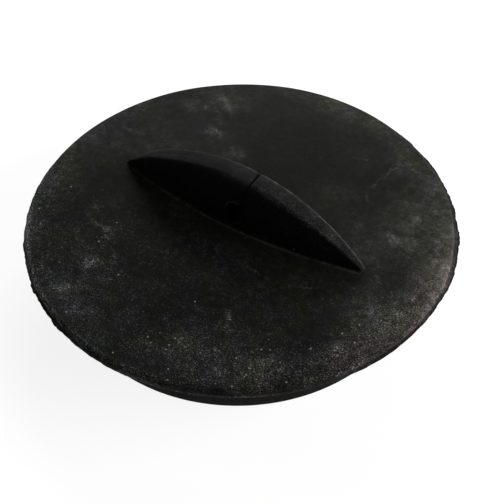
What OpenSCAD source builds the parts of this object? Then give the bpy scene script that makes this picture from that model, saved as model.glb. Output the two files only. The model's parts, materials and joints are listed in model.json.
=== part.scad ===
// Rubber sink plug: a round flange with a tapered hollow spigot under it and a
// crescent finger grip across the top, moulded in one piece. The origin is on
// the plug's axis, level with the rim that it stands on, and +Z is up. The grip
// runs along X.

/* [Spigot] */
// Diameter of the spigot where it meets the flange, to suit the sink's waste
spigot_d = 86; // [60:0.5:110]
// Length of the spigot below the seat
spigot_h = 15.3; // [11:0.1:30]
// Taper of the spigot's outside, in degrees from its axis
spigot_draft = 5; // [1:0.5:8]
// Wall thickness of the spigot at its open rim
wall_t = 4.5; // [3:0.1:8]
// Draft of the hollow's side, in degrees from the axis
hollow_draft = 3; // [1:0.5:6]
// Thickness of the web over the hollow, at the middle
web_t = 4.2; // [3.6:0.1:6]
// Radius of the fillet inside the hollow, under the web
hollow_r = 3; // [1:0.5:5]
// Radius of the fillet where the spigot meets the seat
root_r = 1; // [0.4:0.1:2]
// Radius that rounds both edges of the open rim
rim_r = 0.6; // [0.2:0.1:1.2]

/* [Flange] */
// Reach of the flange beyond the top of the spigot, without its flash
flange_reach = 6.4; // [4:0.1:12]
// Height of the flange's edge above the seat, up to the crowned deck
edge_h = 1.5; // [1:0.1:4]
// Rise of the deck's crown from its edge to its centre
crown_h = 1.45; // [0.5:0.05:4]
// Radius that rounds the flange's edge into the deck
edge_r = 0.9; // [0.3:0.1:2]
// How far the flash stands out round the parting line
flash_w = 0.6; // [0.2:0.1:1.5]
// Thickness of the flash
flash_t = 0.3; // [0.2:0.05:0.5]

/* [Grip] */
// Length of the grip from tip to tip
grip_l = 65.6; // [40:0.5:80]
// Width of the grip at its foot, half way along
grip_w = 10.4; // [8:0.1:16]
// Width of the grip's top, half way along
crest_w = 5.3; // [3:0.1:7.5]
// Height of the grip above the middle of the deck
grip_h = 12.5; // [9.5:0.1:20]
// Height of the grip's blunt tips above the deck
tip_h = 0.9; // [0.4:0.1:2]
// Width of the blunt tips
tip_w = 1.3; // [0.8:0.1:2.5]
// Radius that rolls the grip's top into its walls
crest_r = 1; // [0.3:0.1:1.6]
// Radius of the fillet where the grip's walls meet the deck
foot_r = 0.6; // [0.3:0.1:1.2]

/* [Chain hole and cut] */
// Diameter of the hole for the chain's ring
hole_d = 4.6; // [3.5:0.1:5.6]
// Thickness of rubber between the hole and the deck
hole_up = 1.8; // [1.2:0.1:3]
// Place of the hole's centre along the grip
hole_x = 1.5; // [-4:0.1:4]
// Width of the cut that opens the hole to the top
cut_w = 0.25; // [0.2:0.05:0.8]
// Place along the grip where the cut comes out at the top
cut_x = 4.1; // [-6:0.1:6]
// How far off the middle of the hole the cut enters it
cut_off = 1; // [-1.2:0.1:1.2]
// Depth of the worn lips where the cut comes out
lip_h = 0.5; // [0.2:0.1:1]

/* [Hidden] */
$fn = 96;

// How finely the arcs of the section and the length of the grip are stepped
crown_steps = 14;
round_steps = 6;
roll_steps = 5;
fillet_steps = 4;
grip_steps = 36;
nose_angles = [35, 60, 78];

// How far the grip's foot is sunk into the deck, and a cut runs past the top
sink = 1.2;
over = 1;

spigot_r = spigot_d / 2;
flange_r = spigot_r + flange_reach;
grip_half = grip_l / 2;

// Heights of the faces, from the rim that the plug stands on
seat_z = spigot_h;
deck_z = seat_z + edge_h + crown_h;
web_z = deck_z - web_t;
crest_z = deck_z + grip_h;
hole_z = deck_z + hole_up + hole_d / 2;

// The deck is part of a sphere through its centre and its rounded edge
rounding = min(edge_r, edge_h - 2 * flash_t);
edge_x = flange_r - rounding;
crown_r = (edge_x * edge_x + crown_h * crown_h) / (2 * crown_h);
crown_z = deck_z - crown_r;
edge_z = crown_z + sqrt(pow(crown_r - rounding, 2) - edge_x * edge_x);
edge_angle = atan2(edge_z - crown_z, edge_x);

// The grip's top is an arc through its highest point and its two tips
arch_drop = crest_z - deck_at(grip_half) - tip_h;
arch_r = arc_radius(grip_half, arch_drop);

// Radius of an arc from the middle and the height of its chord
function arc_radius(half_chord, rise) = (half_chord * half_chord + rise * rise) / (2 * rise);

// Height of the crowned deck at a distance from the axis
function deck_at(r) = crown_z + sqrt(crown_r * crown_r - r * r);

// Radius of the spigot's outside, and of the hollow in it, at a height
function spigot_wall(z) = spigot_r - (seat_z - z) * tan(spigot_draft);
function hollow_wall(z) = spigot_wall(0) - wall_t - z * tan(hollow_draft);

// Points along an arc, from one angle to another
function arc(x, y, r, from, to, steps) =
    [for (i = [0:steps]) let (a = from + (to - from) * i / steps) [x + r * cos(a), y + r * sin(a)]];

// Half of the plug's section: out over the deck, down the spigot and up the hollow
function plug_section() = concat(
    [[0, web_z], [0, deck_z]],
    [for (i = [1:crown_steps - 1]) let (r = edge_x * i / crown_steps) [r, deck_at(r)]],
    arc(edge_x, edge_z, rounding, edge_angle, 0, round_steps),
    [
        [flange_r, seat_z + flash_t],
        [flange_r + flash_w, seat_z + flash_t * 0.6],
        [flange_r + flash_w, seat_z]
    ],
    arc(spigot_wall(seat_z - root_r) + root_r / cos(spigot_draft), seat_z - root_r, root_r,
        90, 180 - spigot_draft, round_steps),
    arc(spigot_wall(rim_r) - rim_r / cos(spigot_draft), rim_r, rim_r,
        -spigot_draft, -90, round_steps),
    arc(hollow_wall(rim_r) + rim_r / cos(hollow_draft), rim_r, rim_r,
        -90, -180 + hollow_draft, round_steps),
    arc(hollow_wall(web_z - hollow_r) - hollow_r / cos(hollow_draft), web_z - hollow_r, hollow_r,
        hollow_draft, 90, round_steps)
);

module plug() {
    color("#232323")
    difference() {
        union() {
            rotate_extrude() polygon(plug_section());
            grip();
        }
        chain_hole();
        cut();
    }
}

// The crescent grip, lofted through its sections from tip to tip
module grip() {
    nose = tip_w / 2;
    straight = grip_half - nose;
    stations = concat(
        [for (i = [len(nose_angles) - 1:-1:0]) [-straight - nose * sin(nose_angles[i]), cos(nose_angles[i])]],
        [for (i = [0:grip_steps]) [-straight * cos(180 * i / grip_steps), 1]],
        [for (a = nose_angles) [straight + nose * sin(a), cos(a)]]
    );
    loft([for (s = stations) grip_ring(s[0], s[1])]);
}

// The grip's whole section at x, as a closed ring, drawn in by shrink at the tips
function grip_ring(x, shrink) =
    let (
        base_z = deck_at(x),
        side = grip_side(base_z, lens(x, grip_w) * shrink, lens(x, crest_w) * shrink,
            (arch_at(x) - base_z) * shrink)
    )
    concat(
        [for (p = side) [x, p[0], p[1]]],
        [for (i = [len(side) - 1:-1:0]) [x, -side[i][0], side[i][1]]]
    );

// One side of a section that stands h above the deck: foot, drafted wall and rolled top
function grip_side(base_z, foot_w, top_w, h) =
    let (
        lean = atan((foot_w - top_w) / h),
        roll = min(crest_r, 0.45 * h, 0.8 * top_w),
        fillet = min(foot_r, 0.4 * h),
        foot_y = foot_w + fillet * (1 - sin(lean)) / cos(lean),
        roll_y = top_w - roll * (1 - sin(lean)) / cos(lean)
    )
    concat(
        [[foot_y, base_z - sink]],
        arc(foot_y, base_z + fillet, fillet, -110, -180 + lean, fillet_steps),
        arc(roll_y, base_z + h - roll, roll, lean, 90, roll_steps)
    );

// Half width at x of a lens with arcs for sides and blunt tips
function lens(x, middle_w) =
    let (rise = (middle_w - tip_w) / 2, r = arc_radius(grip_half, rise))
    middle_w / 2 - (r - sqrt(r * r - x * x));

// Height of the grip's arched top at x
function arch_at(x) = crest_z - arch_r + sqrt(arch_r * arch_r - x * x);

// A solid through a row of rings with the same number of points, where each
// ring's second half is the mirror image of its first half, in reverse
module loft(rings) {
    n = len(rings[0]);
    end = (len(rings) - 1) * n;
    sides = [for (i = [0:n:end - n]) for (j = [0:n - 1])
        let (a = i + j, b = i + (j + 1) % n)
        each [[a, b + n, b], [a, a + n, b + n]]];
    caps = [for (j = [0:n / 2 - 2])
        let (k = n - 1 - j)
        each [[j, j + 1, k - 1], [j, k - 1, k],
            [end + j, end + k - 1, end + j + 1], [end + j, end + k, end + k - 1]]];
    polyhedron([for (ring = rings) each ring], concat(sides, caps));
}

// The round hole through the grip for the chain's ring
module chain_hole() {
    translate([hole_x, 0, hole_z]) rotate([90, 0, 0])
        cylinder(d = hole_d, h = 2 * grip_w, center = true);
}

// The slanting cut from the top of the grip down into the hole, with worn lips
module cut() {
    foot = [hole_x + cut_off, hole_z];
    top = [cut_x, arch_at(cut_x)];
    along = (top - foot) / norm(top - foot);
    aside = [along[1], -along[0]];
    lip = top - along * lip_h;
    beyond = top + along * over;
    half = cut_w / 2;
    flare = half + lip_h + over;
    rotate([90, 0, 0]) linear_extrude(2 * grip_w, center = true)
        polygon([
            foot - aside * half, foot + aside * half,
            lip + aside * half, beyond + aside * flare,
            beyond - aside * flare, lip - aside * half
        ]);
}

plug();
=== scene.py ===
# The looks of the rubber sink plug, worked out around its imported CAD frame. The
# plug is one moulding, so one mesh stands for it: the same flange, spigot, grip,
# hole and cut as the CAD solid, with its ragged flash, worn edges and dust.
import json
import math

import bmesh
import bpy
from mathutils import Matrix, Vector, noise


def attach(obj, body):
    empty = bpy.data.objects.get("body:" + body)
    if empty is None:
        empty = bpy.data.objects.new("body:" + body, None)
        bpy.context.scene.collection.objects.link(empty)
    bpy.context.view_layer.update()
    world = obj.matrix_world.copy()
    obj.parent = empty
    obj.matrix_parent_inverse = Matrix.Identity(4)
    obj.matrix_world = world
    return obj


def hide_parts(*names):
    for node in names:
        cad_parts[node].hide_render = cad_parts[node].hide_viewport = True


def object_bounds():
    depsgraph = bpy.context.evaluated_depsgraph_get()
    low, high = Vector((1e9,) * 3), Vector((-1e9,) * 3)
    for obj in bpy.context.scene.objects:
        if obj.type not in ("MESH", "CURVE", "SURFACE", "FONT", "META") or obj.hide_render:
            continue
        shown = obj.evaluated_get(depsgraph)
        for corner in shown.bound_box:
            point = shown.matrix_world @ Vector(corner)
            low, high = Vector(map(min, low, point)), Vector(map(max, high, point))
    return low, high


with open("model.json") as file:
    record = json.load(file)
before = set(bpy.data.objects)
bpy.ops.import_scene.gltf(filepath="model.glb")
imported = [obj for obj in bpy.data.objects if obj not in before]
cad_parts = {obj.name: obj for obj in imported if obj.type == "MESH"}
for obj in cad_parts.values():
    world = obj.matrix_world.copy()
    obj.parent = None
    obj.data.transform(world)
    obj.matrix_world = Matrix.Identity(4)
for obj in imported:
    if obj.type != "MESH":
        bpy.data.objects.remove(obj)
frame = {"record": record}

CAD_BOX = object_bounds()

# ---------------------------------------------------------------- sizes, in millimetres
MM = 0.001
MOUNTS = {mount["name"]: mount for mount in frame["record"]["mounts"]}

OVER_R = CAD_BOX[1].x / MM
CREST_Z = CAD_BOX[1].z / MM
SEAT_Z = MOUNTS["seat"]["pos_m"][2] / MM
HOLE_X = MOUNTS["chain_hole"]["pos_m"][0] / MM
HOLE_Z = MOUNTS["chain_hole"]["pos_m"][2] / MM
HOLE_R = MOUNTS["chain_hole"]["dims"]["r_mm"]

# The flange: its edge, the crowned deck and the flash that begins a little way out of its side
FLASH_W = 0.6
FLASH_T = 0.3
FLASH_ROOT = 0.1
FLANGE_R = OVER_R - FLASH_W
EDGE_R = 0.9
EDGE_H = 1.5
GRIP_H = 12.5
DECK_Z = CREST_Z - GRIP_H
EDGE_X = FLANGE_R - EDGE_R
CROWN_H = DECK_Z - SEAT_Z - EDGE_H
CROWN_R = (EDGE_X ** 2 + CROWN_H ** 2) / (2 * CROWN_H)
CROWN_Z = DECK_Z - CROWN_R

# The spigot and the hollow in it
SPIGOT_R = 43.0
SPIGOT_DRAFT = math.radians(5)
WALL_T = 4.5
HOLLOW_DRAFT = math.radians(3)
HOLLOW_R = 3.0
WEB_T = 4.2
WEB_Z = DECK_Z - WEB_T
ROOT_R = 1.0
RIM_R = 0.6

# The grip: half lengths and half widths, and its rolled and filleted edges
GRIP_HALF = 32.8
FOOT_HALF = 5.2
TOP_HALF = 2.65
TIP_HALF = 0.65
TIP_H = 0.9
FAR_FOOT_R = 0.6
NEAR_FOOT_R = 0.35
FAR_ROLL = 0.4
NEAR_ROLL = 2.0
TOP_SWELL = 0.12

# How low and how slim the grip's left end is worn, and from what share of its half length
LEFT_WORN = 0.6
LEFT_WORN_FROM = 0.75
LEFT_SLIM = 0.5
LEFT_SLIM_FROM = 0.6

# The round of the hole's mouths, and the cut from the top of the grip into the hole
MOUTH_R = 0.28
CUT_X = 4.1
CUT_OFF = 1.0
CUT_W = 0.34
CUT_LIP = 0.2
CUT_REACH = 8.0

# Points round the rings of the deck, of the flange's edge, of the flash and of the hole
DECK_RING = 480
EDGE_RING = 960
FLASH_RING = 1920
HOLE_RING = 72

# Steps in the grip's foot fillet, its wall, its rolled edge and its top, in the deck, in the rounds
# of the hole's mouths and the cut's lips, and across the cut
FILLET_STEPS = 5
WALL_STEPS = 16
ROLL_STEPS = 9
TOP_STEPS = 8
DECK_STEPS = 44
MOUTH_STEPS = 6
CUT_STEPS = 40


# ---------------------------------------------------------------- shape
def wave(x, y, z, size, seed=0.0):
    """Smooth noise from -1 to 1 with features of about that size in millimetres."""
    return noise.noise(Vector((x, y, z)) / size + Vector((seed, 0.37 * seed, -1.7 * seed)))


def rise(value, low, high):
    """A smooth step from 0 to 1."""
    t = min(1.0, max(0.0, (value - low) / (high - low)))
    return t * t * (3 - 2 * t)


def arc_radius(half_chord, height):
    return (half_chord ** 2 + height ** 2) / (2 * height)


def deck_at(r):
    """Height of the crowned deck at a distance from the axis."""
    return CROWN_Z + math.sqrt(CROWN_R ** 2 - r ** 2)


def uneven(x, y):
    """How far the moulded deck stands off its true crown."""
    return 0.05 * wave(x, y, 0, 17, 3.1) + 0.02 * wave(x, y, 0, 6, 8.4)


EDGE_Z = CROWN_Z + math.sqrt((CROWN_R - EDGE_R) ** 2 - EDGE_X ** 2)
ARCH_R = arc_radius(GRIP_HALF, CREST_Z - deck_at(GRIP_HALF) - TIP_H)


def arch_at(x):
    """Height of the grip's arched top, which is worn lower at its left tip."""
    worn = LEFT_WORN * max(0.0, -x / GRIP_HALF - LEFT_WORN_FROM) / (1 - LEFT_WORN_FROM)
    return CREST_Z - ARCH_R + math.sqrt(ARCH_R ** 2 - x ** 2) - worn


def lens(x, middle_half):
    """Half width of a lens with arcs for sides and blunt tips."""
    r = arc_radius(GRIP_HALF, middle_half - TIP_HALF)
    return middle_half - r + math.sqrt(r ** 2 - x ** 2)


def nose(x):
    """Share of its full section that the grip has at x: less than 1 in the round tips."""
    past = max(0.0, abs(x) - (GRIP_HALF - TIP_HALF)) / TIP_HALF
    return math.sqrt(max(0.0, 1 - past ** 2))


def arc(y, z, r, start, end, steps):
    """Points along an arc, its two ends included, with angles in radians."""
    angles = [start + (end - start) * i / steps for i in range(steps + 1)]
    return [(y + r * math.cos(a), z + r * math.sin(a)) for a in angles]


def between(start, end, steps):
    """Points along a straight line, without its two ends."""
    (y0, z0), (y1, z1) = start, end
    return [(y0 + (y1 - y0) * i / steps, z0 + (z1 - z0) * i / steps) for i in range(1, steps)]


def slimmer(x):
    """How much nearer to the middle the foot of the grip's near side lies."""
    return 0.3 * math.exp(-((x + 17) / 10) ** 2)


def pointed(x):
    """How much slimmer the grip is towards its left tip, which is worn to a point."""
    return LEFT_SLIM * max(0.0, (-x / GRIP_HALF - LEFT_SLIM_FROM) / (1 - LEFT_SLIM_FROM)) ** 1.5


def grip_side(x, roll_r, foot_r, slim):
    """One side of the grip's section at x as (distance from its middle, height) pairs:
    foot fillet, drafted wall and rolled top edge."""
    share = nose(x)
    base = deck_at(abs(x))
    foot = (lens(x, FOOT_HALF) - slim - pointed(x)) * share
    top = (lens(x, TOP_HALF) - pointed(x)) * share
    h = (arch_at(x) - base) * share
    lean = math.atan2(foot - top, h)
    roll = min(roll_r, 0.45 * h, 0.8 * top)
    fillet = min(foot_r, 0.4 * h) * (1 - 1.2 * pointed(x))
    foot_y = foot + fillet * (1 - math.sin(lean)) / math.cos(lean)
    roll_y = top - roll * (1 - math.sin(lean)) / math.cos(lean)
    low = arc(foot_y, base + fillet, fillet, -math.pi / 2, -math.pi + lean, FILLET_STEPS)
    high = arc(roll_y, base + h - roll, roll, lean, math.pi / 2, ROLL_STEPS)
    return low + between(low[-1], high[0], WALL_STEPS) + high


class Shell:
    """Points and faces of one closed surface, in millimetres."""

    def __init__(self):
        self.points = []
        self.faces = []

    def row(self, points):
        """Adds a row of points, and returns their numbers."""
        first = len(self.points)
        self.points += [tuple(p) for p in points]
        return list(range(first, len(self.points)))

    def bridge(self, a, b, closed=True):
        """Faces between two rows, where the second has as many points, twice or half as many."""
        if len(b) < len(a):
            for face in self._strip(b, a, closed):
                self.faces.append(face[::-1])
        else:
            self.faces += self._strip(a, b, closed)

    @staticmethod
    def _strip(a, b, closed):
        """The faces between a row and one with as many points or twice as many."""
        n, k = len(a), len(b) // len(a)
        made = []
        for i in range(n if closed else n - 1):
            a0, a1 = a[i], a[(i + 1) % n]
            if k == 1:
                made.append((a0, b[i], b[(i + 1) % n], a1))
            else:
                b0, b1, b2 = b[2 * i], b[2 * i + 1], b[(2 * i + 2) % (2 * n)]
                made += [(a0, b0, b1), (a0, b1, a1), (a1, b1, b2)]
        return made

    def grow(self, ring, points):
        """Adds a ring of points joined to the last ring, and returns their numbers."""
        new = self.row(points)
        self.bridge(ring, new)
        return new

    def fan(self, hub, row, closed=True):
        """Triangles from one point to a row."""
        for i in range(len(row) if closed else len(row) - 1):
            self.faces.append((hub, row[i], row[(i + 1) % len(row)]))

    def mesh(self, name):
        """A Blender object with this surface, facing outwards."""
        data = bpy.data.meshes.new(name)
        data.from_pydata([Vector(p) * MM for p in self.points], [], self.faces)
        work = bmesh.new()
        work.from_mesh(data)
        bmesh.ops.recalc_face_normals(work, faces=work.faces)
        work.to_mesh(data)
        work.free()
        made = bpy.data.objects.new(name, data)
        bpy.context.scene.collection.objects.link(made)
        return made


def circle(n, radius_at, height_at):
    """A ring of n points whose radius and height are functions of the angle."""
    turns = [2 * math.pi * i / n for i in range(n)]
    return [(radius_at(a) * math.cos(a), radius_at(a) * math.sin(a), height_at(a)) for a in turns]


def even_circle(n, r, z):
    return circle(n, lambda a: r, lambda a: z)


def around(angle, middle, width):
    """A smooth hump from 0 to 1 round a middle, which like the width is in degrees."""
    off = (math.degrees(angle) - middle + 180) % 360 - 180
    return math.exp(-(off / width) ** 2)


def humps(angle, rows):
    """The sum of many humps round the plug: height, middle and width."""
    return sum(height * around(angle, middle, width) for height, middle, width in rows)


# Humps round the flange, with their middles and widths in degrees: how far it is out of round, how
# roughly its flash is torn, and how much further the flash stands out
BULGES = [(0.30, 6, 38), (0.12, 88, 25), (-0.15, 125, 12)]
TORN = [(0.80, 28, 32), (0.70, -125, 30)]
FLASH_STANDS_OUT = [(0.60, 20, 24), (0.25, -20, 9), (0.20, 62, 15), (0.28, -97, 20), (0.30, -58, 22)]


def bulge(a):
    """How far the flange itself is out of round."""
    return humps(a, BULGES)


def ragged(a):
    """How roughly the flash is torn at an angle, from 0.3 where it was trimmed to 1."""
    return min(1.0, 0.3 + humps(a, TORN))


def flash_width(a):
    """How far the torn flash stands out."""
    x, y = OVER_R * math.cos(a), OVER_R * math.sin(a)
    torn = 0.16 * wave(x, y, 0, 2.2, 1.3) + 0.13 * wave(x, y, 0, 0.9, 5.2)
    torn += 0.22 * rise(wave(x, y, 0, 6, 12.3), -0.02, 0.06)
    nick = 0.3 * max(0.0, wave(x, y, 0, 3.4, 7.7) - 0.25)
    return max(0.12, 0.5 + humps(a, FLASH_STANDS_OUT) + (torn - nick) * ragged(a))


def flash_lift(a):
    """Small rise and fall of the thin flash."""
    x, y = OVER_R * math.cos(a), OVER_R * math.sin(a)
    return 0.05 * wave(x, y, 0, 5.0, 2.6) + 0.03 * wave(x, y, 0, 1.4, 4.9)


def near_roll(x):
    """Radius of the near top edge, which is rolled softly in the middle and less at the tips."""
    middle = 1
    reach = 15 if x > middle else 12
    return FAR_ROLL + (NEAR_ROLL - FAR_ROLL) * math.exp(-((x - middle) / reach) ** 2)


def grip_section(x):
    """The grip's section at x as (y, height) pairs, from the far foot over the top to the near foot."""
    far = grip_side(x, FAR_ROLL, FAR_FOOT_R, 0)
    near = [(-y, z) for y, z in grip_side(x, near_roll(x), NEAR_FOOT_R, slimmer(x))]
    top = []
    for i, (y, z) in enumerate(between(far[-1], near[-1], TOP_STEPS), 1):
        t = i / TOP_STEPS
        top.append((y, z + 4 * TOP_SWELL * t * (1 - t) * nose(x)))
    return far + top + near[::-1]


def grip_point(x, y, z):
    """A point of the grip's section as it came out of the mould, with the wear beside the cut."""
    high = min(1.0, max(0.0, (z - deck_at(abs(x))) / 2))
    off = 0.05 * high * wave(x, y, z, 9, 6.2)
    off += 0.12 * high * high * wave(x, y, z, 1.8, 2.2)
    dip = 0.3 * high * math.exp(-((x - CUT_X) / 0.9) ** 2) * max(0.0, (z - CREST_Z + 3) / 3)
    foot = uneven(x, y) * (1 - high)
    return x, y + (off if y > 0 else -off), z + foot - dip


def add_grip(shell):
    """The lofted grip. Returns its foot outline as a ring of DECK_RING points."""
    stations = DECK_RING // 2
    rows = []
    for s in range(1, stations):
        x = GRIP_HALF * math.cos(math.pi * s / stations)
        rows.append(shell.row([grip_point(x, y, z) for y, z in grip_section(x)]))
    for one, other in zip(rows, rows[1:]):
        shell.bridge(one, other, closed=False)
    tip_z = deck_at(GRIP_HALF)
    right, left = shell.row([(x, 0, tip_z + uneven(x, 0)) for x in (GRIP_HALF, -GRIP_HALF)])
    shell.fan(right, rows[0], closed=False)
    shell.fan(left, rows[-1][::-1], closed=False)
    return [right] + [row[0] for row in rows] + [left] + [row[-1] for row in reversed(rows)]


def add_deck(shell, foot):
    """The deck, from the grip's foot out to the flange's edge."""
    reach = EDGE_X - 2.0
    ring = foot
    for k in range(1, DECK_STEPS + 1):
        t = (k / DECK_STEPS) ** 1.35
        points = []
        for i, number in enumerate(foot):
            a = 2 * math.pi * i / DECK_RING
            x0, y0, _ = shell.points[number]
            x = x0 + (reach * math.cos(a) - x0) * t
            y = y0 + (reach * math.sin(a) - y0) * t
            points.append((x, y, deck_at(math.hypot(x, y)) + uneven(x, y)))
        ring = shell.grow(ring, points)
    return ring


def shoulder_ring(r, z):
    """A ring of the flange's shoulder, as uneven as the deck and as out of round as the flange."""
    def radius_at(a):
        return r + bulge(a) + 0.03 * wave(r * math.cos(a), r * math.sin(a), 0, 7, 9.1)

    def height_at(a):
        return z + uneven(r * math.cos(a), r * math.sin(a))

    return circle(EDGE_RING, radius_at, height_at)


def side_ring(r, z):
    """A ring of the flange's side, just over the flash."""
    return circle(EDGE_RING, lambda a: r + bulge(a), lambda a: z + flash_lift(a))


def flash_ring(share, height):
    """A ring of the flash, at a share of its width and a height over the seat. The one at no
    height is level."""
    def radius_at(a):
        return FLANGE_R + FLASH_ROOT + bulge(a) + (flash_width(a) - FLASH_ROOT) * share

    def height_at(a):
        return SEAT_Z + height + flash_lift(a) * (1 if height else 0)

    return circle(FLASH_RING, radius_at, height_at)


def add_edge(shell, ring):
    """The rounded shoulder, the side and the torn flash. Returns the flash's lower ring."""
    shoulder = [(r, deck_at(r)) for r in (EDGE_X - 1.4, EDGE_X - 0.8, EDGE_X - 0.3)]
    top_angle = math.atan2(EDGE_Z - CROWN_Z, EDGE_X)
    shoulder += arc(EDGE_X, EDGE_Z, EDGE_R, top_angle, 0, steps=9)
    for r, z in shoulder:
        ring = shell.grow(ring, shoulder_ring(r, z))
    for out, up in ((0.03, 0.2), (FLASH_ROOT, 0.05)):
        ring = shell.grow(ring, side_ring(FLANGE_R + out, SEAT_Z + FLASH_T + up))
    for share, height in ((0.45, 1.0), (0.85, 0.85), (1.0, 0.5), (0.93, 0.0)):
        ring = shell.grow(ring, flash_ring(share, height * FLASH_T))
    return ring


def spigot_wall(z):
    return SPIGOT_R - (SEAT_Z - z) * math.tan(SPIGOT_DRAFT)


def hollow_wall(z):
    return spigot_wall(0) - WALL_T - z * math.tan(HOLLOW_DRAFT)


def spigot_ring(r, z):
    """A ring of the seat, the spigot or the hollow, which stand out a little at the near side."""
    return circle(DECK_RING, lambda a: r + 0.25 * around(a, -97, 35), lambda a: z)


def add_underside(shell, ring):
    """The seat, the spigot, its rim, the hollow and the web over it."""
    quarter = math.pi / 2
    root = arc(spigot_wall(SEAT_Z - ROOT_R) + ROOT_R / math.cos(SPIGOT_DRAFT), SEAT_Z - ROOT_R, ROOT_R,
               quarter, 2 * quarter - SPIGOT_DRAFT, steps=6)
    outer = arc(spigot_wall(RIM_R) - RIM_R / math.cos(SPIGOT_DRAFT), RIM_R, RIM_R,
                -SPIGOT_DRAFT, -quarter, steps=5)
    inner = arc(hollow_wall(RIM_R) + RIM_R / math.cos(HOLLOW_DRAFT), RIM_R, RIM_R,
                -quarter, -2 * quarter + HOLLOW_DRAFT, steps=5)
    corner = arc(hollow_wall(WEB_Z - HOLLOW_R) - HOLLOW_R / math.cos(HOLLOW_DRAFT), WEB_Z - HOLLOW_R,
                 HOLLOW_R, HOLLOW_DRAFT, quarter, steps=7)
    seat_edge = (FLANGE_R - 0.6, SEAT_Z)
    seat = between(seat_edge, root[0], steps=4)
    wall = between(root[-1], outer[0], steps=9)
    hollow = between(inner[-1], corner[0], steps=8)

    ring = shell.grow(ring, even_circle(EDGE_RING, *seat_edge))
    for r, z in seat + root + wall + outer + inner + hollow + corner:
        ring = shell.grow(ring, spigot_ring(r, z))
    for n, r in ((DECK_RING, 27), (DECK_RING // 2, 20), (DECK_RING // 4, 13), (DECK_RING // 8, 6)):
        ring = shell.grow(ring, even_circle(n, r, WEB_Z))
    shell.fan(shell.row([(0, 0, WEB_Z)])[0], ring)


def wall_y(x, z):
    """Half width of the grip at x and a height on its wall."""
    base = deck_at(abs(x))
    t = (z - base) / (arch_at(x) - base)
    return lens(x, FOOT_HALF) + (lens(x, TOP_HALF) - lens(x, FOOT_HALF)) * t


def hole_ring(extra, depth, side):
    """A ring larger than the hole by extra, at a depth in the grip's far (1) or near (-1) wall."""
    points = []
    for i in range(HOLE_RING):
        a = 2 * math.pi * i / HOLE_RING
        mouth_x = HOLE_X + (HOLE_R + MOUTH_R) * math.cos(a)
        mouth_z = HOLE_Z + (HOLE_R + MOUTH_R) * math.sin(a)
        y = wall_y(mouth_x, mouth_z) - depth
        r = HOLE_R + extra
        points.append((HOLE_X + r * math.cos(a), side * y, HOLE_Z + r * math.sin(a)))
    return points


def quarter_round(r, steps):
    """A quarter round in a corner, as (distance from one side, distance from the other) pairs."""
    angles = [math.pi / 2 * i / steps for i in range(steps + 1)]
    return [(r * (1 - math.cos(a)), r * (1 - math.sin(a))) for a in angles]


def hole_cutter():
    """A round cutter through the grip whose ends flare to round the hole's mouths."""
    shell = Shell()
    profile = [(MOUTH_R + 0.35, -0.5)] + quarter_round(MOUTH_R, MOUTH_STEPS)[::-1]
    rings = [hole_ring(extra, depth, 1) for extra, depth in profile]
    rings += [hole_ring(extra, depth, -1) for extra, depth in reversed(profile)]
    first = ring = shell.row(rings[0])
    for points in rings[1:]:
        ring = shell.grow(ring, points)
    end_y = wall_y(HOLE_X, HOLE_Z) + 0.5
    far, near = shell.row([(HOLE_X, end_y, HOLE_Z), (HOLE_X, -end_y, HOLE_Z)])
    shell.fan(far, first)
    shell.fan(near, ring)
    return shell.mesh("hole_cutter")


def cut_cutter():
    """A thin wavy blade from above the grip into the hole, with rounded lips at the top."""
    shell = Shell()
    foot, top = Vector((HOLE_X + CUT_OFF, HOLE_Z)), Vector((CUT_X, arch_at(CUT_X)))
    along = (top - foot).normalized()
    aside = Vector((along.y, -along.x))
    half = CUT_W / 2
    depth = (top - foot).length
    side = [(0.2 * half, 0.0), (0.3 * half, 0.35 * depth), (0.6 * half, 0.6 * depth)]
    side += [(half + out, depth - 0.25 - under) for out, under in quarter_round(CUT_LIP, MOUTH_STEPS)]
    side.append((half + CUT_LIP + 0.5, depth + 0.6))
    outline = side + [(-w, d) for w, d in reversed(side)]
    rows = []
    for k in range(CUT_STEPS + 1):
        y = -CUT_REACH + 2 * CUT_REACH * k / CUT_STEPS
        points = []
        for w, d in outline:
            drift = 0.09 * wave(d, y, 0, 2.6, 4.4) + 0.04 * wave(d, y, 0, 0.9, 6.6)
            p = foot + along * d + aside * (w + drift)
            points.append((p.x, y, p.y))
        rows.append(shell.row(points))
    for one, other in zip(rows, rows[1:]):
        shell.bridge(one, other)
    for row in (rows[0], rows[-1]):
        for j in range(len(side) - 1):
            shell.faces.append((row[j], row[j + 1], row[-2 - j], row[-1 - j]))
    return shell.mesh("cut_cutter")


def cut_away(body, cutter):
    """Takes a cutter's space out of the body, and removes the cutter."""
    modifier = body.modifiers.new("cut", "BOOLEAN")
    modifier.operation = "DIFFERENCE"
    modifier.solver = "EXACT"
    modifier.object = cutter
    bpy.context.view_layer.update()
    evaluated = body.evaluated_get(bpy.context.evaluated_depsgraph_get())
    data = bpy.data.meshes.new_from_object(evaluated)
    body.modifiers.clear()
    old, body.data = body.data, data
    bpy.data.meshes.remove(old)
    bpy.data.objects.remove(cutter)


def make_plug():
    shell = Shell()
    foot = add_grip(shell)
    deck = add_deck(shell, foot)
    flash = add_edge(shell, deck)
    add_underside(shell, flash)
    plug = shell.mesh("rubber_plug")
    cut_away(plug, hole_cutter())
    cut_away(plug, cut_cutter())
    for face in plug.data.polygons:
        face.use_smooth = True
    plug.data.set_sharp_from_angle(angle=math.radians(38))
    return plug


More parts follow.
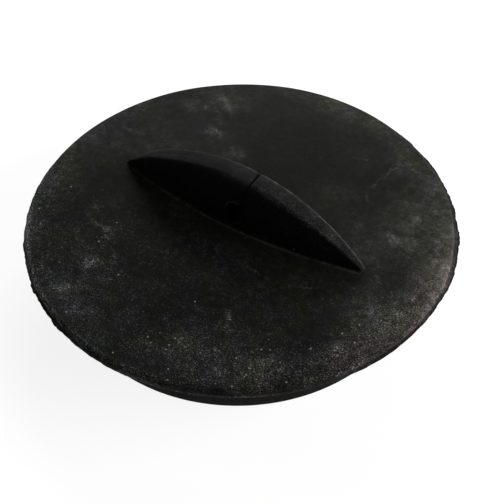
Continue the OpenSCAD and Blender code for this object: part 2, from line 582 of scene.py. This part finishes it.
# ---------------------------------------------------------------- where the dust lies
# A patch is an ellipse on the deck: its place, half length and half width, its turn in degrees and
# its strength. First come the broad clouds of dust, and clean patches where the strength is below 0.
CLOUDS = [
    (-35, 14, 14, 18, -15, 0.20),
    (-27, 33, 9, 6, 10, 0.45),
    (-20, 21, 6, 5, -30, 0.20),
    (-12, 15, 6, 3, 35, 0.30),
    (3, 47, 24, 6, 0, 0.50),
    (24, 38, 9, 7, -35, 0.40),
    (36, 18, 8, 16, -15, 0.95),
    (46, 6, 5, 20, 5, 0.50),
    (40, -10, 8, 6, 10, 0.55),
    (26, -36, 12, 6, 35, 0.45),
    (14, -37, 9, 6, 0, 0.50),
    (-18, -32, 8, 6, -30, 0.15),
    (-16, -42, 12, 4, -15, 0.55),
    (-42, -15, 5, 16, 20, 0.30),
    (1, 22, 15, 14, 0, -0.22),
    (-34, -6, 9, 7, 0, -0.08),
    (33, -25, 7, 5, 0, -0.20),
    (4, -29, 6, 8, 0, -0.10),
    (44, -10, 7, 11, -5, 0.60),
    (5, -34, 8, 5, 0, -0.22),
    (-15, -25, 9, 6, 0, -0.12),
    (0, -26, 22, 6, 0, -0.06),
    (22, 8, 10, 14, 0, 0.10),
    (-2, 20, 10, 18, 0, -0.14),
    (25, 36, 7, 5, 0, 0.15),
    (-15, 45, 7, 3, 0, 0.25),
    (12, 46, 9, 3, 0, 0.20),
    (5, -15, 6, 4, 0, 0.08),
    (38, -5, 8, 5, 0, 0.20),
    (-44, 0, 5, 12, 0, 0.20),
    (-32, 6, 9, 5, 0, 0.14),
]

# Where loose specks of dust lie thickest
SPECKLED = [
    (28, -34, 17, 10, 35, 0.50),
    (37, 10, 8, 16, -20, 0.35),
    (40, -10, 8, 11, 0, 0.60),
    (-17, -34, 12, 9, -35, 0.50),
    (12, -41, 20, 8, 0, 0.45),
    (-28, -28, 10, 12, 40, 0.20),
]

# Patches where the dust is tinted plain grey, olive, violet, pink or green
PLAIN = [(34, 14, 24, 30, -15, 0.9)]
OLIVE = [
    (4, 24, 32, 24, -8, 1.6),
    (-30, 32, 10, 6, 30, 0.6),
    (-41, -8, 6, 10, 15, 1.0),
    (-22, -12, 14, 7, -20, 1.6),
    (-31, -29, 8, 6, 40, 0.9),
    (16, -17, 8, 4, 0, 0.6),
]
VIOLET = [
    (-22, 19, 10, 6, -5, 1.0),
    (-44, 8, 6, 16, 0, 1.6),
    (-21, 29, 5, 2, -30, 0.7),
    (-24, -22, 9, 4, 0, 0.8),
    (-12, -44, 18, 6, -10, 1.0),
    (0, -14, 11, 5, 0, 1.5),
    (8, -30, 14, 7, 10, 0.9),
    (15, -44, 10, 4, 10, 1.5),
    (28, -26, 8, 5, 20, 1.0),
    (22, -42, 8, 4, 30, 0.8),
    (43, -28, 9, 5, 50, 0.9),
    (-36, -34, 18, 3, -46, 1.0),
]
PINK = [
    (47, 3, 6, 28, 5, 1.2),
    (48.5, -13, 2, 13, -14, 0.8),
    (42, -20, 8, 14, -35, 1.0),
    (30, -38, 8, 5, 40, 0.8),
]
GREEN = [
    (-42, -22, 5, 12, 40, 0.9),
    (-24, -36, 9, 6, -20, 0.9),
    (-3, -46, 10, 4, 0, 1.5),
    (2, -38, 6, 5, 0, 0.5),
]
TINTS = [
    (PLAIN, (0.98, 1.01, 0.80)),
    (OLIVE, (0.96, 1.0, 0.60)),
    (VIOLET, (1.0, 0.98, 1.12)),
    (PINK, (1.14, 0.97, 0.92)),
    (GREEN, (0.88, 1.04, 0.98)),
]

# Dust between the clouds, and dust round the deck's edge: strength, middle and width in degrees, and
# the distances from the axis where it begins and is whole
EVEN_DUST = 0.19
EDGE_DUST = [
    (0.80, 6, 42, 40.0, 47.5),
    (0.70, 190, 36, 43.0, 48.0),
    (0.30, 90, 40, 43.0, 49.0),
    (0.25, -10, 12, 42.0, 46.0),
    (-0.30, -42, 12, 46.0, 48.0),
]

# Humps of extra dust and wear round the flange's side and over its shoulder. On the side they are wear
# and painted fill light, which lightens the side where it lies in shade; on the shoulder they are dust
# and a painted highlight.
SIDE_WEAR_AND_FILL_LIGHT = [(2.60, -138, 20), (1.30, -114, 16), (0.50, -98, 14), (0.50, -80, 12), (0.15, -36, 14)]
SHOULDER_DUST_AND_HIGHLIGHT = [(0.90, 12, 18), (0.50, -152, 16)]


def from_middle(x, y, middle_x, middle_y, half_length, half_width, turn):
    """How far a place is from a patch's middle, where 1 is the patch's outline."""
    t = math.radians(turn)
    along = (x - middle_x) * math.cos(t) + (y - middle_y) * math.sin(t)
    across = (y - middle_y) * math.cos(t) - (x - middle_x) * math.sin(t)
    return math.hypot(along / half_length, across / half_width)


def deck_dust(x, y):
    """Share of dust on the deck and its shoulder."""
    share = EVEN_DUST
    for *ellipse, strength in CLOUDS:
        share += strength * math.exp(-1.5 * from_middle(x, y, *ellipse) ** 2)
    r, a = math.hypot(x, y), math.atan2(y, x)
    for strength, middle, width, begins, whole in EDGE_DUST:
        share += strength * around(a, middle, width) * rise(r, begins, whole)
    return max(0.03, share)


def grit_at(x, y):
    """Strength of the dust's fine grain: it lies loose on one side, and is wiped flat on the other."""
    loose_right = 0.5 * rise(x, 25, 45) * rise(-y, -15, 10)
    return 0.16 + 0.84 * rise(-0.15 * x - 0.95 * y, 0, 28) + loose_right


def patches_at(x, y, rows):
    """The sum of many patches at a place, the patches' outlines bent here and there."""
    x, y = x + 2.5 * wave(x, y, 0, 4, 31.7), y + 2.5 * wave(x, y, 0, 4, 47.1)
    total = 0.0
    for *ellipse, strength in rows:
        total += strength * (1 - rise(from_middle(x, y, *ellipse), 0.15, 1.0))
    return min(1.0, total)


def tint_at(x, y):
    """The colour that tints the dust at a place, and how strongly it does."""
    colour, strength = Vector((1, 1, 1)), 0.0
    for rows, shade in TINTS:
        share = patches_at(x, y, rows)
        colour = colour.lerp(Vector(shade), share)
        strength += share * (1 - strength)
    return colour, strength


def zone(dust_and_painted_light=0.0, wear_and_highlight=0.0, wiped_and_shaded=0.0, deck=0.0, grit=0.3, speckled=0.0):
    """Shares of dust and painted light, of wear and painted highlight, of wiped rubber and painted shade,
    of deck, of gritty dust and of loose specks.
    """
    return {"dust_and_painted_light": dust_and_painted_light, "wear_and_highlight": wear_and_highlight, "wiped_and_shaded": wiped_and_shaded, "deck": deck, "grit": grit, "speckled": speckled}


def edge_zone(p, r):
    """The flange's side, its flash, the seat, the spigot and the hollow."""
    x, y, z = p
    a = math.atan2(y, x)
    r -= bulge(a)
    # worn is wear and painted fill light on the flange's side
    worn = humps(a, SIDE_WEAR_AND_FILL_LIGHT)
    if z < SEAT_Z - 0.05:
        outside = r > hollow_wall(0) + WALL_T / 2
        return zone(dust_and_painted_light=0.05 + 0.17 * around(a, -72, 24) if outside else 0.1, grit=0.6)
    if r < FLANGE_R - 0.2:
        return zone(dust_and_painted_light=0.1)
    if r < FLANGE_R + 0.07:
        fade = rise(z, SEAT_Z + 0.3, SEAT_Z + 0.55)
        dust_and_painted_light = 0.25 + fade * (0.9 * deck_dust(x, y) * (1 - 0.65 * around(a, -14, 26)) + worn)
        # A painted shadow line low on the side at the front, where the rubber is also wiped clean
        wiped_shadow_line = around(a, -88, 26) * (1 - rise(z, SEAT_Z + 0.55, SEAT_Z + 1.0))
        return zone(dust_and_painted_light=dust_and_painted_light, wiped_and_shaded=0.8 * wiped_shadow_line, grit=grit_at(x, y))
    left, right = around(a, 178, 32), around(a, 10, 40)
    across = (r - FLANGE_R - FLASH_ROOT) / (flash_width(a) - FLASH_ROOT)
    inner = 1 - rise(across, 0.5, 1.0)
    # A painted highlight along the front of the flash's outer lip
    lip_highlight = rise(across, 0.6, 1.0) * around(a, -74, 46)
    dust_and_painted_light = 0.1 + inner * (0.3 + 0.5 * left + 1.1 * right + 0.8 * worn) + 0.5 * left + 2.4 * lip_highlight
    return zone(dust_and_painted_light=dust_and_painted_light, wiped_and_shaded=0.8 * (1 - inner) * (1 - max(left, lip_highlight)))


def grip_zone(p):
    """The grip's walls and top, above its foot."""
    x, y, z = p
    edge = lens(x, TOP_HALF) - pointed(x)
    top = rise(z, arch_at(x) - 1.3, arch_at(x) - 0.1)
    by_cut = math.exp(-((x - CUT_X + 3) / 6) ** 2)
    left_end = rise(-x, 14, 30)
    from_ridge = math.hypot(y - edge + 0.1, z - arch_at(x) + 0.05)
    # A painted highlight along the far ridge, together with the ridge's wear and dust
    ridge_wear_and_highlight = math.exp(-(from_ridge / (0.28 + 0.2 * left_end)) ** 2)
    dust_and_painted_light = 0.04 + 0.03 * rise(x, 0, 20)
    dust_and_painted_light += top * (0.34 * rise(x, -14, 26) + 0.16 * by_cut + 0.04 * left_end)
    wear_and_highlight = ridge_wear_and_highlight * (0.8 + 0.8 * rise(x, -8, 4) + 1.0 * left_end)
    if y < 0:
        wear_and_highlight += 0.3 * math.exp(-((arch_at(x) - z) / 0.6) ** 2) * rise(-x, 4, 18)
    speckled = 0.16 * rise(x, -2, 12) if y < 0 else 0.0
    return zone(dust_and_painted_light=dust_and_painted_light, wear_and_highlight=wear_and_highlight, grit=0.3 + 0.35 * rise(x, -5, 20), speckled=speckled)


def zones(p):
    """What the material needs to know at a point, by the names of its shares."""
    x, y, z = p
    r = math.hypot(x, y)
    if z < SEAT_Z + 0.45 or r > FLANGE_R + 0.4:
        return edge_zone(p, r)
    if abs(x) > GRIP_HALF or r > EDGE_X - 1:
        a = math.atan2(y, x)
        # Painted fill light on the side and a painted highlight on the shoulder, added as extra dust
        side = humps(a, SIDE_WEAR_AND_FILL_LIGHT) * rise(r, EDGE_X - 0.2, EDGE_X + 0.5)
        side += humps(a, SHOULDER_DUST_AND_HIGHLIGHT) * rise(r, EDGE_X - 0.8, EDGE_X)
        return zone(dust_and_painted_light=deck_dust(x, y) + side, deck=1.0, grit=grit_at(x, y))
    # Painted shade inside the chain hole's bore, made as wiped rubber
    if math.hypot(x - HOLE_X, z - HOLE_Z) < HOLE_R + 0.1:
        return zone(wiped_and_shaded=1.0)
    high = z - deck_at(r)
    if high > 0.3:
        return grip_zone(p)
    foot = lens(x, FOOT_HALF) - pointed(x) - (slimmer(x) if y < 0 else 0)
    line = math.exp(-((abs(y) - foot - 0.3) / 0.3) ** 2)
    return zone(dust_and_painted_light=deck_dust(x, y), wear_and_highlight=0.6 * line, deck=1 - rise(high, 0.1, 0.3), grit=grit_at(x, y))


def mark_zones(plug):
    """Stores the shares and the tint on the mesh's points, for the material's nodes."""
    marks, tints = [], []
    for point in plug.data.vertices:
        x, y, z = point.co / MM
        mark = zones((x, y, z))
        on_top = mark["deck"] > 0 or (z > SEAT_Z - 0.05 and math.hypot(x, y) > EDGE_X)
        tint, mark["tinted"] = tint_at(x, y) if on_top else (Vector((1, 1, 1)), 0.0)
        mark["speckled"] += patches_at(x, y, SPECKLED) * mark["deck"]
        marks.append(mark)
        tints.extend(tint)
    for name in marks[0]:
        layer = plug.data.attributes.new(name, "FLOAT", "POINT")
        layer.data.foreach_set("value", [mark[name] for mark in marks])
    plug.data.attributes.new("tint", "FLOAT_VECTOR", "POINT").data.foreach_set("vector", tints)


# ---------------------------------------------------------------- materials
class Graph:
    """Short calls that build one material's nodes."""

    def __init__(self, name):
        self.material = bpy.data.materials.new(name)
        self.material.use_nodes = True
        self.tree = self.material.node_tree
        self.shader = self.tree.nodes["Principled BSDF"]

    def join(self, value, socket):
        if isinstance(value, bpy.types.NodeSocket):
            self.tree.links.new(value, socket)
        else:
            socket.default_value = value

    def node(self, kind, inputs, output=0, **settings):
        """Adds a node, and returns one of its outputs."""
        made = self.tree.nodes.new("ShaderNode" + kind)
        for name, value in settings.items():
            setattr(made, name, value)
        for key, value in inputs.items():
            self.join(value, made.inputs[key])
        return made.outputs[output]

    def attribute(self, name):
        return self.node("Attribute", {}, "Fac", attribute_name=name)

    def math(self, operation, a, b=0.0):
        return self.node("Math", {0: a, 1: b}, operation=operation)

    def add(self, *values):
        total = values[0]
        for value in values[1:]:
            total = self.math("ADD", total, value)
        return total

    def times(self, *values):
        total = values[0]
        for value in values[1:]:
            total = self.math("MULTIPLY", total, value)
        return total

    def step(self, value, low, high, start=0.0, end=1.0):
        """A smooth change from start to end as the value goes from low to high."""
        inputs = {"Value": value, "From Min": low, "From Max": high, "To Min": start, "To Max": end}
        return self.node("MapRange", inputs, interpolation_type="SMOOTHSTEP")

    def scaled(self, value, low, high, start=0.0, end=1.0):
        """A straight change from start to end, which may go past both."""
        inputs = {"Value": value, "From Min": low, "From Max": high, "To Min": start, "To Max": end}
        return self.node("MapRange", inputs, clamp=False)

    def noise(self, where, size, detail=2.0, roughness=0.5):
        """Noise from about 0.2 to 0.8 with features of about that size in millimetres."""
        inputs = {"Vector": where, "Scale": 1 / size, "Detail": detail, "Roughness": roughness}
        return self.node("TexNoise", inputs)

    def lively(self, noise, strength, middle=0.5):
        """A factor that swings with a noise, and is 1 where the noise is at the middle."""
        off = self.math("SUBTRACT", noise, middle)
        return self.math("EXPONENT", self.math("MULTIPLY", off, strength))

    def length(self, vector):
        return self.node("VectorMath", {0: vector}, "Value", operation="LENGTH")

    def mix(self, share, a, b):
        return self.node("Mix", {0: share, 6: a, 7: b}, 2, data_type="RGBA")

    def patch(self, where, x, y, length, width, turn):
        """A soft-edged ellipse: 1 in its middle, and 0 outside its half length and half width."""
        inputs = {"Vector": where, "Location": (x, y, 0), "Rotation": (0, 0, math.radians(turn)),
                  "Scale": (length, width, 1)}
        placed = self.node("Mapping", inputs, vector_type="TEXTURE")
        return self.step(self.length(placed), 1.0, 0.15)

    def patches(self, where, rows):
        """The sum of many patches, in the same form as the clouds of dust."""
        total = 0.0
        for x, y, length, width, turn, strength in rows:
            patch = self.patch(where, x, y, length, width, turn)
            total = self.node("Math", {0: patch, 1: strength, 2: total}, operation="MULTIPLY_ADD")
        return total


# Smudges on the deck, in the same form as the clouds of dust
SMUDGES = [
    (-24.5, 31.4, 9.0, 3.2, -18, 0.60),
    (-21.8, 33.6, 6.0, 2.4, -19, 0.50),
    (-25.5, 36.5, 6.0, 2.2, -30, 0.35),
    (-31.5, 28.0, 6.0, 4.0, 10, 0.45),
    (-34.5, 32.2, 4.0, 2.6, 20, 0.35),
    (-21.5, 21.0, 4.6, 2.4, -15, 1.00),
    (-39.0, 10.6, 5.0, 2.0, 5, 0.60),
    (-12.0, 17.0, 5.5, 2.6, -40, 0.60),
    (-40.0, 2.7, 4.5, 3.5, 0, 0.40),
    (-43.5, 20.0, 3.0, 6.0, 10, 0.25),
    (23.4, 35.8, 3.6, 1.6, 10, 0.80),
    (33.6, 20.8, 4.4, 2.6, -15, 0.80),
    (16.0, 18.5, 8.0, 4.0, -10, 0.25),
    (33.5, 12.3, 3.5, 2.4, -20, 0.70),
    (37.0, -0.4, 2.2, 1.0, 0, 0.90),
    (39.5, -9.0, 4.0, 1.8, 12, 1.20),
    (41.5, -15.0, 2.4, 1.6, -50, 0.80),
    (15.8, -28.5, 4.5, 1.6, -50, 0.80),
    (14.7, -40.5, 2.6, 1.8, 0, 1.10),
    (27.5, -31.5, 7.5, 4.0, 38, 0.30),
    (38.3, -21.0, 2.4, 1.8, 0, 0.80),
    (-19.5, -30.5, 2.6, 3.6, 28, 0.90),
    (-19.4, -39.0, 3.0, 2.0, 20, 0.70),
    (-24.0, -20.8, 3.4, 1.3, 0, 0.80),
    (-20.5, -24.0, 3.0, 1.2, -60, 0.60),
]

# Thin scratches, in the same form
SCRATCHES = [
    (22.6, 32.4, 0.75, 5.0, -12, 0.90),
    (21.3, 25.8, 0.75, 4.6, -2, 0.75),
    (22.6, 20.8, 2.6, 0.8, -38, 0.80),
    (15.5, 32.0, 6.8, 0.6, 26, 0.55),
    (-25.0, -20.6, 7.5, 0.6, -14, 0.45),
    (-24.0, 26.5, 7.0, 0.8, -40, 0.50),
    (13.0, -13.4, 6.5, 0.6, -4, 0.50),
    (24.5, -11.2, 6.5, 0.6, 28, 0.50),
    (-6.0, -20.5, 3.2, 0.6, -58, 0.50),
    (-16.5, -26.0, 4.5, 0.6, -40, 0.60),
]

# How light bare rubber, wiped rubber and dust are, and how well a share of 1 covers the rubber. The wiped
# grey also paints the shade in the chain hole, and the dust grey also paints highlights and fill light.
BARE = 0.0030
WIPED_AND_SHADE = 0.0006
DUST_AND_PAINTED_LIGHT = 0.5
COVER = 0.055

# Tints of the dust: its two blotchy colours on the deck, and its colour elsewhere and in marks
OLIVE_DUST = (0.97, 1.01, 0.72, 1)
NEUTRAL_DUST = (1.0, 0.99, 1.0, 1)
SIDE_DUST = (1.0, 1.0, 0.98, 1)


def grey(level):
    return level, level, level, 1


def cells(g, where, size):
    """Round cells: the distance from the middle of one, and a random number for it."""
    near = g.node("TexVoronoi", {"Vector": where, "Scale": 1 / size, "Randomness": 1.0}, "Distance")
    return near, g.node("SeparateColor", {0: near.node.outputs["Color"]})


def specks(g, where, size, radius, density):
    """Round specks in a share of the cells, that share being the density."""
    near, random = cells(g, where, size)
    return g.times(g.step(near, radius / size, 0.4 * radius / size), g.math("LESS_THAN", random, density))


def salt(g, where, size):
    """Fine grains, most of them faint and a few bright."""
    near, random = cells(g, where, size)
    return g.times(g.step(near, 0.6, 0.15), g.math("POWER", random, 18.0))


def streaks(g, where, turn):
    """Wispy strokes a few millimetres long, all turned one way."""
    inputs = {"Vector": where, "Rotation": (0, 0, math.radians(turn)), "Scale": (1 / 4.5, 1 / 0.6, 1)}
    turned = g.node("Mapping", inputs, vector_type="POINT")
    return g.step(g.noise(turned, 1.0, 3.0, 0.6), 0.53, 0.68)


def wandering(g, flat):
    """The place on the deck, moved about a little so that what lies there gets ragged edges."""
    inputs = {"Vector": flat, "Scale": 1 / 2.0, "Detail": 3.0, "Roughness": 0.6}
    warp = g.node("TexNoise", inputs, "Color")
    shift = g.node("VectorMath", {0: warp, 1: (0.5, 0.5, 0.5)}, operation="SUBTRACT")
    shift = g.node("VectorMath", {0: shift, "Scale": 4.0}, operation="SCALE")
    return g.node("VectorMath", {0: flat, 1: shift}, operation="ADD")


def deck_marks(g, flat, cloud, grain):
    """Smudges broken up by the clouds, and scratches broken up by the grain."""
    smudges = g.times(g.patches(flat, SMUDGES), g.step(cloud, 0.4, 0.6, 0.3, 1.3))
    scratches = g.times(g.patches(flat, SCRATCHES), g.step(grain, 0.35, 0.6, 0.3, 1.3))
    return g.add(smudges, scratches)


def chain_hole_shade_and_glint(g, where):
    """Two masks on the grip's walls: painted shade over the chain hole and its lip, and a light arc over
    it that is worn dust and a painted highlight, with a painted glint at its lower lip.
    """
    from_hole = g.node("VectorMath", {0: where, 1: (HOLE_X, 0, HOLE_Z)}, operation="SUBTRACT")
    on_wall = g.node("VectorMath", {0: from_hole, 1: (1, 0, 1)}, operation="MULTIPLY")
    from_hole_shade = g.node("VectorMath", {0: on_wall, 1: (0.35, 0, -0.2)}, operation="SUBTRACT")
    off = g.length(on_wall)
    hole_shade = g.step(g.length(from_hole_shade), HOLE_R + 0.5, HOLE_R + 0.3)
    height = g.node("VectorMath", {0: on_wall, 1: (-0.45, 0, 0.9)}, "Value", operation="DOT_PRODUCT")
    band = g.times(g.step(off, HOLE_R, HOLE_R + 0.2), g.step(off, HOLE_R + 0.65, HOLE_R + 0.3))
    where_arc_and_glint = g.add(g.step(height, 1.2, 2.2), g.step(height, -2.0, -2.4, 0, 0.6))
    return hole_shade, g.times(band, where_arc_and_glint)


def dust_tint(g, flat, deck, grit, marks):
    """The dust's tint: blotches of two colours, the patches' own tints, and neutral marks."""
    blotch = g.noise(flat, 6.0, 3.0, 0.6)
    neutral = g.step(g.add(blotch, g.times(grit, 0.06)), 0.47, 0.65)
    tint = g.mix(deck, SIDE_DUST, g.mix(neutral, OLIVE_DUST, NEUTRAL_DUST))
    local = g.node("Attribute", {}, "Vector", attribute_name="tint")
    tint = g.mix(g.times(g.attribute("tinted"), g.step(blotch, 0.40, 0.52, 0.5, 0.9)), tint, local)
    return g.mix(g.math("MINIMUM", marks, 0.7), tint, NEUTRAL_DUST)


def rubber():
    """Old black rubber with a bloom of dust, smudges, scratches and loose specks, and with painted shade,
    highlights and fill light.
    """
    g = Graph("rubber")
    in_metres = g.node("TexCoord", {}, "Object")
    where = g.node("VectorMath", {0: in_metres, "Scale": 1 / MM}, operation="SCALE")
    flat = g.node("VectorMath", {0: where, 1: (1, 1, 0)}, operation="MULTIPLY")
    ragged_flat = wandering(g, flat)

    deck, grit, wiped_and_shaded = g.attribute("deck"), g.attribute("grit"), g.attribute("wiped_and_shaded")
    speckled = g.attribute("speckled")
    loose = g.times(grit, grit, grit)
    grain = g.noise(where, 0.29, 2.0, 0.6)
    cloud = g.noise(where, 4.5, 6.0, 0.76)
    wide = g.noise(where, 14.0, 2.0, 0.5)
    mottle = g.noise(where, 1.4, 3.0, 0.6)

    # The bloom of dust with its marks and the painted light on the flange's edge, grained the more the
    # grittier it is
    marks = deck_marks(g, ragged_flat, cloud, grain)
    wisps = g.add(streaks(g, ragged_flat, 38), streaks(g, ragged_flat, -25))
    wisps = g.times(wisps, g.add(grit, 0.1), 0.2)
    share = g.add(g.attribute("dust_and_painted_light"), g.times(g.add(marks, wisps), deck))
    share = g.times(share, g.lively(cloud, 4.0), g.lively(wide, 2.0), g.lively(mottle, 2.5))
    share = g.times(share, g.lively(grain, g.scaled(grit, 0, 1, 2.5, 11.0), 0.52))

    # Fine grains and worn edges with their painted highlights, less of all where it is wiped clean or
    # painted as shade, and the large specks
    grains_here = g.add(g.times(speckled, 8.0), g.times(loose, 2.4))
    share = g.add(share, g.times(salt(g, where, 0.28), g.lively(cloud, 5.0), grains_here))
    share = g.add(share, g.times(g.attribute("wear_and_highlight"), g.step(mottle, 0.38, 0.62, 0.5, 1.3)))
    share = g.times(share, g.scaled(wiped_and_shaded, 0, 1, 1, 0.1), COVER)
    specks_here = g.add(g.times(speckled, 0.35), g.times(loose, 0.16))
    share = g.add(share, g.times(specks(g, where, 1.7, 0.25, specks_here), 0.5))

    # Painted shade in and round the chain hole, and the light arc and painted glint at its mouth
    hole, arc_and_glint = chain_hole_shade_and_glint(g, where)
    wiped_and_shaded = g.math("MAXIMUM", wiped_and_shaded, hole)
    share = g.add(share, g.times(arc_and_glint, 0.06))
    colour = g.mix(share, g.mix(wiped_and_shaded, grey(BARE), grey(WIPED_AND_SHADE)), grey(DUST_AND_PAINTED_LIGHT))
    layers = {0: 1.0, 6: colour, 7: dust_tint(g, flat, deck, grit, marks)}
    colour = g.node("Mix", layers, 2, data_type="RGBA", blend_type="MULTIPLY")
    g.join(colour, g.shader.inputs["Base Color"])

    roughness = g.add(g.scaled(grain, 0.4, 0.6, 0.64, 0.76), g.times(share, 1.5), g.times(wiped_and_shaded, 0.3))
    g.join(g.math("MINIMUM", roughness, 0.95), g.shader.inputs["Roughness"])
    g.shader.inputs["Specular IOR Level"].default_value = 0.045

    fine = g.times(g.noise(where, 0.55, 2.0, 0.6), 0.012)
    coarse = g.times(g.noise(where, 2.4, 2.0, 0.5), 0.06)
    bump = g.node("Bump", {"Height": g.add(fine, coarse), "Distance": MM, "Strength": 1.0})
    g.join(bump, g.shader.inputs["Normal"])
    return g.material


def floor_material():
    """A plain pale floor, which the camera sees as white with the object's shadow on it."""
    g = Graph("floor")
    g.shader.inputs["Base Color"].default_value = (0.8, 0.8, 0.8, 1)
    g.shader.inputs["Roughness"].default_value = 0.9
    g.shader.inputs["Specular IOR Level"].default_value = 0.0
    path = g.tree.nodes.new("ShaderNodeLightPath")
    seen = g.math("MAXIMUM", path.outputs["Is Camera Ray"],
                  g.math("MAXIMUM", path.outputs["Is Glossy Ray"], path.outputs["Is Transmission Ray"]))
    glow = g.node("Emission", {"Color": (1, 1, 1, 1), "Strength": 0.86})
    shade = g.node("BsdfDiffuse", {"Color": (0.25, 0.25, 0.25, 1)})
    white = g.node("AddShader", {0: glow, 1: shade})
    both = g.node("MixShader", {0: seen, 1: g.shader.outputs[0], 2: white})
    g.join(both, g.tree.nodes["Material Output"].inputs["Surface"])
    return g.material


# ---------------------------------------------------------------- scene
def make_camera():
    """The camera, placed by its direction and distance from a point on the seat's level."""
    # The azimuth is turned from the view along +Y
    azimuth, elevation, roll = math.radians(33.62), math.radians(47.17), math.radians(-0.51)
    distance = 4.9575 * OVER_R
    target = Vector((0.158 * OVER_R, -0.1352 * OVER_R, SEAT_Z))
    back = Vector((math.sin(azimuth) * math.cos(elevation),
                   -math.cos(azimuth) * math.cos(elevation), math.sin(elevation)))
    right = Vector((math.cos(azimuth), math.sin(azimuth), 0))
    up = back.cross(right)
    x_axis = math.cos(roll) * right + math.sin(roll) * up
    y_axis = -math.sin(roll) * right + math.cos(roll) * up
    data = bpy.data.cameras.new("camera")
    data.sensor_width = 36
    data.lens = 77.95
    data.clip_start = 0.01
    data.clip_end = 20
    camera = bpy.data.objects.new("camera", data)
    bpy.context.scene.collection.objects.link(camera)
    turn = Matrix((x_axis, y_axis, back)).transposed().to_4x4()
    camera.matrix_world = Matrix.Translation((target + back * distance) * MM) @ turn
    bpy.context.scene.camera = camera


def make_floor():
    data = bpy.data.meshes.new("floor")
    half = 3.0
    corners = [(-half, -half, 0), (half, -half, 0), (half, half, 0), (-half, half, 0)]
    data.from_pydata(corners, [], [(0, 1, 2, 3)])
    floor = bpy.data.objects.new("floor", data)
    bpy.context.scene.collection.objects.link(floor)
    floor.data.materials.append(floor_material())


# Soft lamps: azimuth and elevation in degrees, how bright each makes a white face turned to it, and
# its width and height in metres
LAMPS = {
    "window_right": (18, 26, 1.18, 0.70, 0.28),
    "window_back": (118, 26, 0.86, 0.42, 0.28),
    "bounce_left": (190, 20, 0.14, 0.26, 0.26),
}
LAMP_AWAY = 0.6


def make_lights():
    for name, (azimuth, elevation, level, width, height) in LAMPS.items():
        data = bpy.data.lights.new(name, "AREA")
        data.shape = "ELLIPSE"
        data.size = width
        data.size_y = height
        data.energy = level * (math.pi * LAMP_AWAY) ** 2
        lamp = bpy.data.objects.new(name, data)
        bpy.context.scene.collection.objects.link(lamp)
        a, e = math.radians(azimuth), math.radians(elevation)
        towards = Vector((math.cos(a) * math.cos(e), math.sin(a) * math.cos(e), math.sin(e)))
        lamp.location = towards * LAMP_AWAY + Vector((0, 0, SEAT_Z * MM))
        lamp.rotation_mode = "QUATERNION"
        lamp.rotation_quaternion = towards.to_track_quat("Z", "Y")


def make_world():
    """White where the camera sees it, and a dim fill elsewhere."""
    world = bpy.data.worlds.new("world")
    world.use_nodes = True
    tree = world.node_tree
    path = tree.nodes.new("ShaderNodeLightPath")
    mix = tree.nodes.new("ShaderNodeMix")
    mix.inputs["A"].default_value = 0.015
    mix.inputs["B"].default_value = 1.0
    tree.links.new(path.outputs["Is Camera Ray"], mix.inputs["Factor"])
    background = tree.nodes["Background"]
    background.inputs["Color"].default_value = (1, 1, 1, 1)
    tree.links.new(mix.outputs["Result"], background.inputs["Strength"])
    bpy.context.scene.world = world


plug = make_plug()
mark_zones(plug)
plug.data.materials.clear()
plug.data.materials.append(rubber())
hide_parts("plug")
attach(plug, "root")

make_camera()
make_floor()
make_lights()
make_world()
bpy.context.scene.view_settings.view_transform = "Standard"
